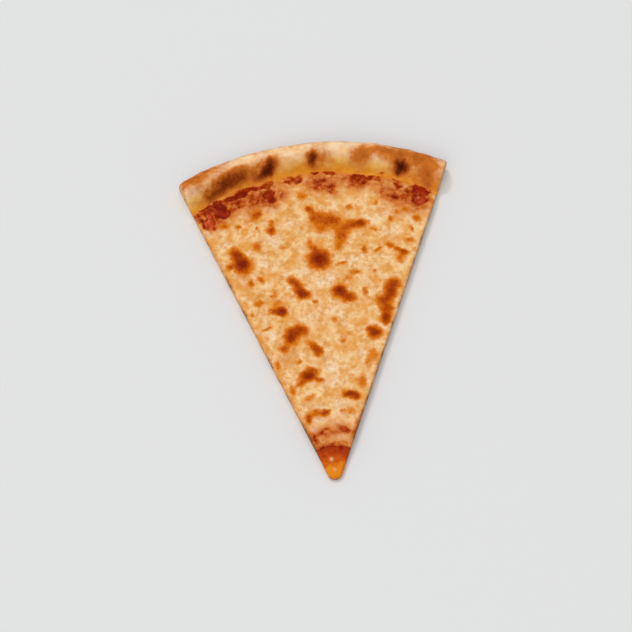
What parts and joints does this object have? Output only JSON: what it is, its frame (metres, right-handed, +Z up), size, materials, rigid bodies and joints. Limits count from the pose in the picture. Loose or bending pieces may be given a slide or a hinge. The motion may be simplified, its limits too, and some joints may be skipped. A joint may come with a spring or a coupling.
{
  "type": "cheese pizza slice",
  "caption": "Wedge of cheese pizza with a raised browned rim, a thin flat base, tomato sauce and a blistered melted cheese layer, lying flat.",
  "frame": {"origin": "middle of the slice's footprint, on the surface that it lies on", "axes": "+Z up, -Y towards the tip of the wedge, +Y towards the rim, X across the slice"},
  "size_m": [0.1714, 0.2222, 0.017],
  "materials": {
    "crust": "baked wheat dough, golden with brown blisters, dry and matte",
    "tomato_sauce": "cooked tomato sauce with orange oil, wet and glossy",
    "melted_cheese": "melted and browned cheese, satin with a thin film of oil"
  },
  "bodies": {
    "root": {"dough": "crust", "sauce": "tomato_sauce", "cheese": "melted_cheese"}
  },
  "joints": []
}
